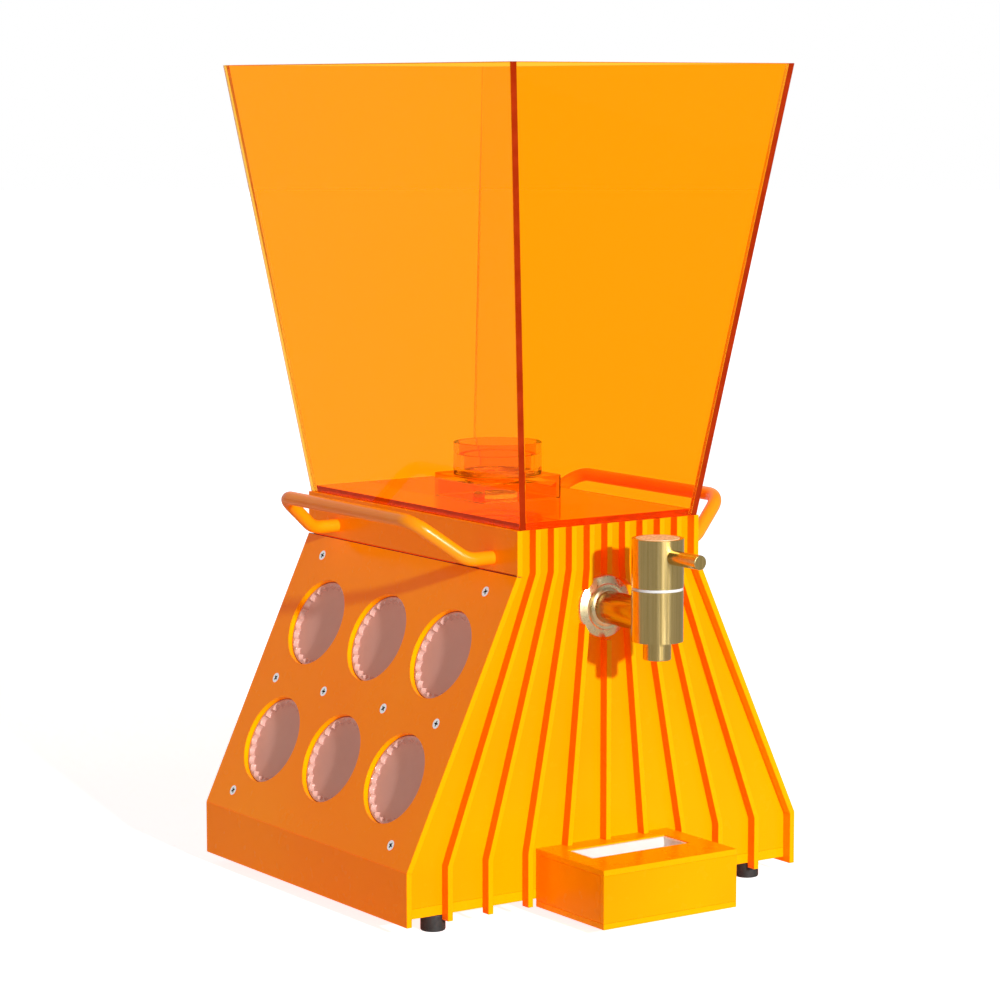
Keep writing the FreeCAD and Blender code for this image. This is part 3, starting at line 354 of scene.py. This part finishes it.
def sheet_normal(side):
    """The outward direction of a sloping cup panel: -1 for the left one and 1 for the right."""
    joint = next(joint for joint in frame["record"]["behaviour"]["joints"]
                 if joint["name"] == f"cup_{'left' if side < 0 else 'right'}_lower_front_pull")
    return Vector(joint["axis"]).normalized()


def up_slope(side):
    """The direction up a sloping cup panel: side is -1 for the left one and 1 for the right."""
    outward = sheet_normal(side)
    return Vector((-side * outward.z, 0, side * outward.x))


for node, side in (("cup_panel_left", -1), ("cup_panel_right", 1)):
    panel = finished(node, f"{node}_sheet", [sheet_face, sheet_edge])
    joint_shaded(panel, up_slope(side))

# ---- Panel screws ---------------------------------------------------------------------------
# Countersunk M3 machine screws, zinc plated, with a cross recess stamped into the flat head. They
# hold the cup panels to the bosses of the racks, each turned as far as it happened to go.

CROSS_REACH = 1.45 * MM
CROSS_ARM = 0.42 * MM
CROSS_DEPTH = 0.8 * MM
CROSS_DRAFT = 0.8                # the recess's floor as a share of its mouth
HEAD_SIDES = 40
SCREW_TURN = 0.6                 # radians from one screw to the next
SAME_END = 0.1 * MM              # corners this near an end of a solid are on it

steel, shader = new_finish("zinc_plated_steel")
mottled(shader, "Base Color", (0.90, 0.90, 0.90), (0.98, 0.98, 0.97), scale=900)
mottled(shader, "Roughness", 0.22, 0.36, scale=1400)
rippled(shader, scale=2200, height=0.01 * MM)
dial(shader, {"Metallic": 1})
# Painted shade: the cross recess is near black, for the shade in its hollow.
recess, shader = new_finish("screw_recess_shade")
mottled(shader, "Base Color", (0.02, 0.02, 0.02), (0.05, 0.04, 0.03), scale=2000)
dial(shader, {"Roughness": 0.7})


def loose_parts(node):
    """The corners of each separate solid of a node, always in the same order."""
    shape = bmesh.new()
    shape.from_mesh(nodes[node].data)
    bmesh.ops.remove_doubles(shape, verts=shape.verts, dist=WELD)
    left = dict.fromkeys(shape.verts)
    parts = []
    while left:
        waiting = [left.popitem()[0]]
        part = []
        while waiting:
            corner = waiting.pop()
            part.append(corner.co.copy())
            for edge in corner.link_edges:
                other = edge.other_vert(corner)
                if other in left:
                    del left[other]
                    waiting.append(other)
        parts.append(part)
    shape.free()
    return parts


def axes_along(direction):
    """A turn that brings +Z to a direction and keeps +X level."""
    level = Vector((0, 0, 1)).cross(direction).normalized()
    return Matrix((level, direction.cross(level), direction)).transposed()


def ring(shape, sides, radius, height):
    steps = [2 * math.pi * number / sides for number in range(sides)]
    return [shape.verts.new((radius * math.cos(a), radius * math.sin(a), height)) for a in steps]


def join_rings(shape, low, high, finish=0):
    """Faces between two rings of as many corners, low and high being in the same order."""
    for number, corner in enumerate(low):
        after = (number + 1) % len(low)
        face = shape.faces.new((corner, low[after], high[after], high[number]))
        face.material_index = finish


def screw(shape, radius, shank, length):
    """A cross-head screw with its head's face at Z = 0 and its shank below."""
    rim = ring(shape, HEAD_SIDES, radius, 0)
    neck = ring(shape, HEAD_SIDES, shank, shank - radius)
    tip = ring(shape, HEAD_SIDES, shank, -length)
    join_rings(shape, neck, rim)
    join_rings(shape, tip, neck)
    shape.faces.new(list(reversed(tip)))
    quarter = [(CROSS_REACH, -CROSS_ARM), (CROSS_REACH, CROSS_ARM), (CROSS_ARM, CROSS_ARM)]
    outline = []
    for turn in range(4):
        spin = Matrix.Rotation(turn * math.pi / 2, 2)
        outline += [spin @ Vector(corner) for corner in quarter]
    top = [shape.verts.new((x, y, 0)) for x, y in outline]
    floor = [shape.verts.new((x * CROSS_DRAFT, y * CROSS_DRAFT, -CROSS_DEPTH))
             for x, y in outline]
    edges = [shape.edges.new((top[number - 1], top[number])) for number in range(len(top))]
    edges += [shape.edges.get((rim[number - 1], rim[number])) for number in range(HEAD_SIDES)]
    bmesh.ops.triangle_fill(shape, edges=edges, use_beauty=True, normal=Vector((0, 0, 1)))
    join_rings(shape, floor, top, finish=1)
    shape.faces.new(floor).material_index = 1


screws = bmesh.new()
for number, corners in enumerate(loose_parts("panel_screws")):
    side = math.copysign(1, sum(corner.x for corner in corners))
    normal = sheet_normal(side)
    heights = [corner.dot(normal) for corner in corners]
    top = max(heights)
    face = [corner for corner in corners if corner.dot(normal) > top - SAME_END]
    centre = sum(face, Vector()) / len(face)
    tip = [corner for corner in corners if corner.dot(normal) < min(heights) + SAME_END]
    end = sum(tip, Vector()) / len(tip)
    one = bmesh.new()
    screw(one, max((corner - centre).length for corner in face),
          max((corner - end).length for corner in tip), top - min(heights))
    spin = Matrix.Rotation(number * SCREW_TURN, 3, "Z")
    one.transform(Matrix.Translation(centre) @ (axes_along(normal) @ spin).to_4x4())
    one_mesh = bpy.data.meshes.new("screw")
    one.to_mesh(one_mesh)
    one.free()
    screws.from_mesh(one_mesh)
    bpy.data.meshes.remove(one_mesh)
bmesh.ops.recalc_face_normals(screws, faces=screws.faces)
placed("panel_screws_steel", screws, [steel, recess], "panel_screws")

# ---- Cup racks ------------------------------------------------------------------------------
# One moulding behind each cup panel: six tubes and eight screw bosses on a back plate with drain
# holes, in dull brown plastic with a fine moulded grain.

rack_plastic, shader = new_finish("rack_plastic")
mottled(shader, "Base Color", (0.40, 0.17, 0.10), (0.47, 0.21, 0.13), scale=60)
mottled(shader, "Roughness", 0.5, 0.65, scale=400)
rippled(shader, scale=900, height=0.03 * MM)
for node in ("cup_rack_left", "cup_rack_right"):
    finished(node, f"{node}_moulding", [rack_plastic], eased=None)

# ---- Shot cups ------------------------------------------------------------------------------
# Clear injection-moulded polystyrene tumblers that lie in the racks foot outward. The hollow foot
# is a ring of scalloped flutes round a frosted disc. Their pink tint and faint glow are painted
# warm light from the orange cabinet round them.

FLUTES = 22
STEPS_PER_FLUTE = 8
CUP_SIDES = FLUTES * STEPS_PER_FLUTE
CUP_WALL = 1.6 * MM
CUP_CHAMFER = 1 * MM             # round the floor inside
FOOT_RECESS = 2.5 * MM
FOOT_LIP = 0.25 * MM
FLUTE_RIM = 0.8 * MM             # plain rim outside the flutes
FLUTE_DEPTH = 1.9 * MM
FLUTE_BEVEL = 0.2 * MM
FLUTE_FULLNESS = 0.7             # 1 is a plain arch, and less is rounder with sharper cusps
CUSP_LEAN = 0.6 * MM             # how far a cusp leans in from the lip to the disc
FLUTE_LEAN = 0.8 * MM            # and the hollow of a flute
SNUG = 0.65 * MM                 # the foot swells to fill its hole
REACH = 0.8 * MM                 # and reaches this far into it

# Painted light: the pink base colours and emissions of both cup finishes stand in for warm light.
cup_clear, shader = new_finish("cup_clear")
mottled(shader, "Roughness", 0.03, 0.10, scale=300)
rippled(shader, scale=120, height=0.04 * MM)
dial(shader, {"Base Color": (0.80, 0.50, 0.43), "Transmission Weight": 0.2, "IOR": 1.57,
              "Emission Color": (1.0, 0.50, 0.38), "Emission Strength": 0.08})
cup_frosted, shader = new_finish("cup_frosted")
mottled(shader, "Base Color", (0.58, 0.31, 0.26), (0.66, 0.37, 0.31), scale=14)
mottled(shader, "Roughness", 0.45, 0.60, scale=260)
rippled(shader, scale=700, height=0.01 * MM)
dial(shader, {"Specular IOR Level": 0.3, "Emission Color": (1.0, 0.42, 0.30),
              "Emission Strength": 0.20})


def node_box(node, turn=Matrix.Identity(3)):
    """The low and the high corner of a node, in axes that a turn brings level."""
    places = [turn @ vertex.co for vertex in nodes[node].data.vertices]
    return [Vector([pick(place[axis] for place in places) for axis in range(3)])
            for pick in (min, max)]


def fluted_ring(shape, inner, outer, height):
    """A ring whose radius swells to the outer one in each flute and nips in to a cusp between."""
    corners = []
    for number in range(CUP_SIDES):
        turn = 2 * math.pi * number / CUP_SIDES
        swell = abs(math.sin(turn * FLUTES / 2)) ** FLUTE_FULLNESS
        radius = inner + (outer - inner) * swell
        corners.append(shape.verts.new((radius * math.cos(turn), radius * math.sin(turn), height)))
    return corners


def tumbler(radius, length):
    """A cup on its axis: the foot at Z = 0, and the mouth below at the cup's length."""
    shape = bmesh.new()
    inside = radius - CUP_WALL
    flute_out = radius - FLUTE_RIM
    flute_in = flute_out - FLUTE_DEPTH
    profile = [
        ring(shape, CUP_SIDES, inside - CUP_CHAMFER, -FOOT_RECESS - CUP_WALL),
        ring(shape, CUP_SIDES, inside, -FOOT_RECESS - CUP_WALL - CUP_CHAMFER),
        ring(shape, CUP_SIDES, inside, -length),
        ring(shape, CUP_SIDES, radius, -length),
        ring(shape, CUP_SIDES, radius, -FOOT_LIP),
        ring(shape, CUP_SIDES, radius - FOOT_LIP, 0),
        fluted_ring(shape, flute_in + FLUTE_BEVEL, flute_out, 0),
        fluted_ring(shape, flute_in, flute_out - FLUTE_BEVEL, -FOOT_LIP),
        fluted_ring(shape, flute_in - CUSP_LEAN, flute_out - FLUTE_LEAN, -FOOT_RECESS),
    ]
    for low, high in zip(profile, profile[1:]):
        join_rings(shape, low, high)
    shape.faces.new(profile[-1]).material_index = 1
    shape.faces.new(list(reversed(profile[0])))
    bmesh.ops.recalc_face_normals(shape, faces=shape.faces)
    return shape


for side, side_name in ((-1, "left"), (1, "right")):
    turned = axes_along(sheet_normal(side))
    for spot in ("lower_rear", "lower_middle", "lower_front", "upper_rear", "upper_middle",
                 "upper_front"):
        node = f"cup_{side_name}_{spot}"
        low, high = node_box(node, turned.transposed())
        foot = turned @ Vector(((low.x + high.x) / 2, (low.y + high.y) / 2, high.z + REACH))
        cup = tumbler((high.x - low.x) / 2 + SNUG, high.z + REACH - low.z)
        cup.transform(Matrix.Translation(foot) @ turned.to_4x4())
        placed(f"{node}_tumbler", cup, [cup_clear, cup_frosted], node)

# ---- Hopper ---------------------------------------------------------------------------------
# Four leaning walls and a floor of 3.5 mm see-through orange acrylic, butt-glued at the corners.
# The dye takes the green and blue out of the light with depth, and the panes have a faint painted
# glow. Cut edges are deep red with a stronger painted glow, and the edges in the glued joints stay
# clear. Light falls through the panes on to the deck.

HOPPER_ABSORBS = (1.0, 0.84, 0.02)
HOPPER_DENSITY = 800
FLOOR_DENSITY = 250


def see_through(name, density):
    """Dyed clear acrylic with a painted glow, its colour deepening with light's path through it."""
    finish, shader = new_finish(name)
    mottled(shader, "Roughness", 0.0, 0.02, scale=40)
    dial(shader, {"Base Color": (1, 1, 1), "Transmission Weight": 1, "IOR": 1.3,
                  "Specular Tint": SHEEN, "Emission Color": (1.0, 0.2, 0.0),
                  "Emission Strength": 0.05})
    tree = shader.id_data
    dye = dial(tree.nodes.new("ShaderNodeVolumeAbsorption"), {
        "Color": HOPPER_ABSORBS, "Density": density})
    tree.links.new(dye.outputs[0], tree.nodes["Material Output"].inputs["Volume"])
    return finish


hopper_face = see_through("hopper_face", HOPPER_DENSITY)
floor_face = see_through("floor_face", FLOOR_DENSITY)
# Deep red cut edges with a painted glow.
hopper_edge, shader = new_finish("hopper_edge")
mottled(shader, "Base Color", (0.30, 0.016, 0.0), (0.38, 0.026, 0.002), scale=120)
mottled(shader, "Roughness", 0.15, 0.25, scale=300)
dial(shader, {"IOR": ACRYLIC_IOR, "Specular IOR Level": SHEET_GLOSS, "Specular Tint": SHEEN,
              "Emission Color": (1.0, 0.05, 0.005), "Emission Strength": 0.12})
floor = finished("hopper_floor", "hopper_floor_pane", [floor_face, hopper_edge])
floor.visible_shadow = False
for node in ("hopper_left", "hopper_right", "hopper_front", "hopper_rear"):
    pane = finished(node, f"{node}_pane", [hopper_face, hopper_edge])
    pane.visible_shadow = False
    for face in pane.data.polygons:
        if face.normal.y > EDGE_FACING or abs(face.normal.x) > EDGE_FACING:
            face.material_index = 0

# ---- Bottle socket --------------------------------------------------------------------------
# A clear rounded box glued to the hopper floor carries a turned clear ring for the bottle's
# neck, which sits on a flat seal of clear silicone.

# Painted light: the orange-pink tint stands in for the orange light of the hopper round it.
clear_acrylic, shader = new_finish("clear_acrylic")
mottled(shader, "Roughness", 0.02, 0.06, scale=60)
dial(shader, {"Base Color": (1.0, 0.64, 0.48), "Transmission Weight": 1, "IOR": 1.12})
for node in ("socket_box", "neck_ring"):
    finished(node, f"{node}_acrylic", [clear_acrylic], eased=0.4 * MM, steps=3)
silicone, shader = new_finish("clear_silicone")
mottled(shader, "Base Color", (0.88, 0.62, 0.48), (0.94, 0.70, 0.56), scale=300)
mottled(shader, "Roughness", 0.30, 0.42, scale=700)
dial(shader, {"Transmission Weight": 0.6})
finished("neck_seal", "neck_seal_washer", [silicone])

# ---- Outlet and hose ------------------------------------------------------------------------
# A white moulded fitting through the hopper floor and the deck, held by its nut. From its elbow
# a milky hose runs straight to the tap, pushed on to a barb at each end.

white_plastic, shader = new_finish("white_plastic")
mottled(shader, "Base Color", (0.84, 0.84, 0.82), (0.90, 0.90, 0.89), scale=80)
mottled(shader, "Roughness", 0.28, 0.40, scale=500)
rippled(shader, scale=800, height=0.02 * MM)
for node in ("outlet_fitting", "outlet_nut", "outlet_elbow"):
    finished(node, f"{node}_moulding", [white_plastic])
hose_wall, shader = new_finish("hose_wall")
mottled(shader, "Base Color", (0.80, 0.80, 0.76), (0.88, 0.88, 0.85), scale=90)
mottled(shader, "Roughness", 0.3, 0.45, scale=300)
dial(shader, {"Transmission Weight": 0.4})
finished("hose", "hose_tube", [hose_wall], eased=None)

# ---- Tap ------------------------------------------------------------------------------------
# Turned brass with fine upright streaks: a pipe from the panel, the valve body with its nozzle, a
# white seal and the knob with a lever and a pale badge. Its highlights are drawn out upright. The
# flange at the panel is dished and polished.

ALONG_BODY = (1, 1, 0.012)       # the streaks of an upright piece
ALONG_PIPE = (1, 0.02, 1)
BRASS_EASED = 0.35 * MM
FLANGE_SIDES = 96
DISH_PLACES = (0, 0.05, 0.55, 0.60, 0.80, 0.92, 1)      # from the rim in to the pipe
DISH_HEIGHTS = (0.25, 0.36, 0.66, 0.78, 0.80, 0.96, 1)  # shares of the rise

brushed_brass, shader = new_finish("brushed_brass")
mottled(shader, "Base Color", (0.62, 0.44, 0.15), (0.73, 0.54, 0.22), scale=900,
        stretch=ALONG_BODY)
mottled(shader, "Roughness", 0.17, 0.27, scale=1300, stretch=ALONG_BODY)
rippled(shader, scale=1500, height=0.02 * MM, stretch=(1, 1, 0.01))
dial(shader, {"Metallic": 1, "Anisotropic": 0.5})
upright = dial(shader.id_data.nodes.new("ShaderNodeCombineXYZ"), {"Z": 1})
shader.id_data.links.new(upright.outputs[0], shader.inputs["Tangent"])
for node in ("valve_body", "nozzle", "tap_knob", "tap_lever", "valve_plug", "tap_nut"):
    finished(node, f"{node}_brass", [brushed_brass], eased=BRASS_EASED, steps=3)
# Painted shade: the pipe's brass is darker than the body's, as the pipe lies in the tap's shadow.
shaded_pipe_brass, shader = new_finish("shaded_pipe_brass")
mottled(shader, "Base Color", (0.46, 0.33, 0.12), (0.56, 0.42, 0.17), scale=500,
        stretch=ALONG_PIPE)
mottled(shader, "Roughness", 0.18, 0.26, scale=700, stretch=ALONG_PIPE)
dial(shader, {"Metallic": 1})
finished("tap_shank", "tap_shank_brass", [shaded_pipe_brass], eased=BRASS_EASED, steps=3)

polished_brass, shader = new_finish("polished_brass")
mottled(shader, "Base Color", (0.90, 0.74, 0.42), (0.96, 0.83, 0.52), scale=200)
mottled(shader, "Roughness", 0.26, 0.34, scale=500)
dial(shader, {"Metallic": 1})
flange_low, flange_high = node_box("tap_flange")
flange_back = (flange_low + flange_high) / 2
flange_back.y = flange_high.y
flange_rise = flange_high.y - flange_low.y
flange_radius = (flange_high.x - flange_low.x) / 2
pipe_low, pipe_high = node_box("tap_shank")
pipe_radius = (pipe_high.x - pipe_low.x) / 2
dish = [(flange_radius, 0)]
dish += [(flange_radius + (pipe_radius - flange_radius) * place, flange_rise * height)
         for place, height in zip(DISH_PLACES, DISH_HEIGHTS)]
dish.append((pipe_radius, 0))
flange = bmesh.new()
dish_rings = [ring(flange, FLANGE_SIDES, radius, height) for radius, height in dish]
for low, high in zip(dish_rings, dish_rings[1:] + dish_rings[:1]):
    join_rings(flange, low, high)
bmesh.ops.recalc_face_normals(flange, faces=flange.faces)
flange.transform(Matrix.Translation(flange_back) @ axes_along(FORWARD).to_4x4())
placed("tap_flange_brass", flange, [polished_brass], "tap_flange")

finished("seal_ring", "seal_ring_moulding", [white_plastic], eased=0.2 * MM)
black_rubber, shader = new_finish("black_rubber")
mottled(shader, "Base Color", (0.012, 0.012, 0.012), (0.022, 0.021, 0.020), scale=300)
mottled(shader, "Roughness", 0.55, 0.75, scale=700)
rippled(shader, scale=1500, height=0.05 * MM)
finished("tap_washer", "tap_washer_rubber", [black_rubber])
# Painted light: the badge's emission brightens it.
badge_plastic, shader = new_finish("badge_plastic")
mottled(shader, "Base Color", (1.0, 0.80, 0.52), (1.0, 0.86, 0.58), scale=300)
mottled(shader, "Roughness", 0.2, 0.3, scale=500)
dial(shader, {"Emission Color": (1.0, 0.55, 0.25), "Emission Strength": 0.10})
finished("knob_badge", "knob_badge_disc", [badge_plastic], eased=0.2 * MM)

# ---- Handles --------------------------------------------------------------------------------
# Round rod of the same fluorescent acrylic with the same painted glow, heated and bent. Its ends
# go through the neck band and are held by steel nuts inside.

rod_acrylic, shader = new_finish("rod_acrylic")
mottled(shader, "Base Color", (0.92, 0.33, 0.002), (0.92, 0.38, 0.004), scale=40)
mottled(shader, "Roughness", 0.16, 0.24, scale=200)
dial(shader, {"IOR": ACRYLIC_IOR, "Emission Color": PAINTED_GLOW, "Emission Strength": 0.25})
for node in ("handle_left", "handle_right"):
    finished(node, f"{node}_rod", [rod_acrylic], eased=None)
finished("handle_nuts", "handle_nuts_steel", [steel], eased=0.2 * MM)

# ---- Drip tray ------------------------------------------------------------------------------
# Sheets of the cabinet's acrylic, glued into a box against the front panel. A white moulded cup
# stands in it, up to the slot in the lid, and lifts out.

for node in ("tray_top", "tray_floor", "tray_front", "tray_sides"):
    finished(node, f"{node}_sheet", [front_face, front_edge])
finished("drip_cup", "drip_cup_moulding", [white_plastic], eased=0.3 * MM, steps=3)

# ---- Feet -----------------------------------------------------------------------------------
# Four tapered feet of black rubber, each moulded in one piece and fixed under the base plate near
# a corner.

finished("rubber_feet", "rubber_feet_mouldings", [black_rubber], eased=0.8 * MM, steps=4)
